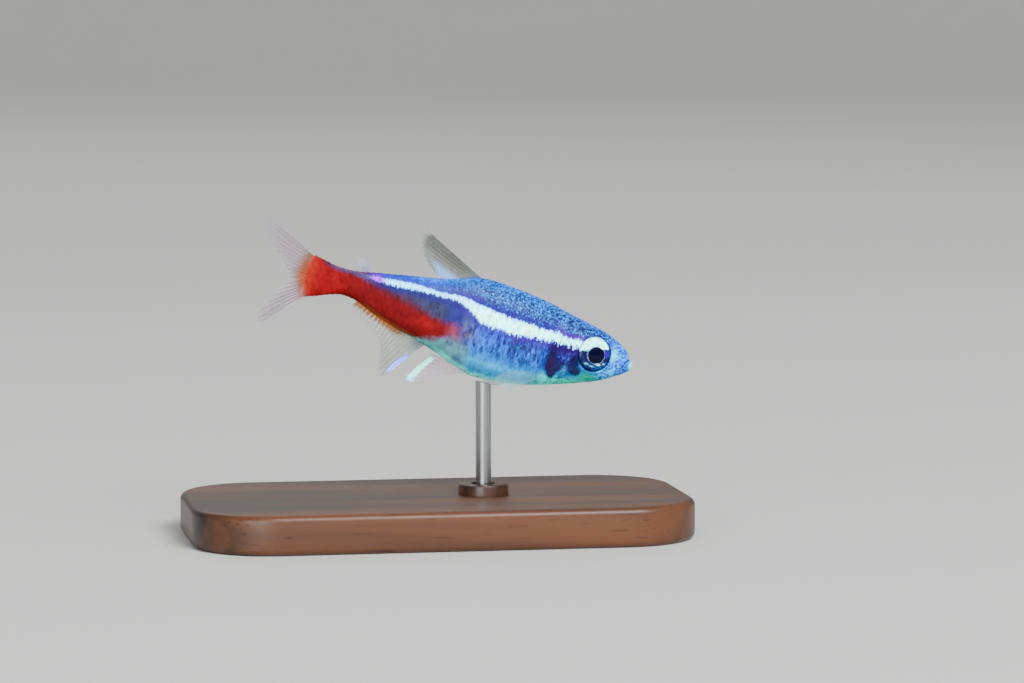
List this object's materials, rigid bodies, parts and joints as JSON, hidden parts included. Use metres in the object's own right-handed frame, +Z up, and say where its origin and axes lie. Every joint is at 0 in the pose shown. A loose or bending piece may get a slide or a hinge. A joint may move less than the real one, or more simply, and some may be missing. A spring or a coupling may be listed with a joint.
{
  "type": "neon tetra model on a display stand",
  "caption": "Life-size slim freshwater fish, nose down with its tail swept to its right, held by a rod on a flat rounded base.",
  "frame": {"origin": "middle of the stand's flat underside", "axes": "+X the way the fish heads and the stand's long side, +Y the fish's left, +Z up"},
  "size_m": [0.038, 0.02, 0.0246],
  "materials": {
    "flesh": "wet scales: steel-blue back, cyan-white stripe, silver belly, red rear flank",
    "fin": "clear ribbed membrane",
    "eye": "glossy, cyan and violet iris with a black pupil",
    "base": "dark stained wood, satin varnish",
    "rod": "satin steel"
  },
  "bodies": {
    "root": {"head": "flesh", "trunk": "flesh", "tail": "flesh", "eye_left": "eye", "eye_right": "eye", "adipose_fin": "fin", "anal_fin": "fin", "caudal_fin_lower": "fin", "caudal_fin_upper": "fin", "dorsal_fin": "fin", "pectoral_fin_left": "fin", "pectoral_fin_right": "fin", "pelvic_fin_left": "fin", "pelvic_fin_right": "fin", "stand_base": "base", "stand_rod": "rod"}
  },
  "joints": []
}
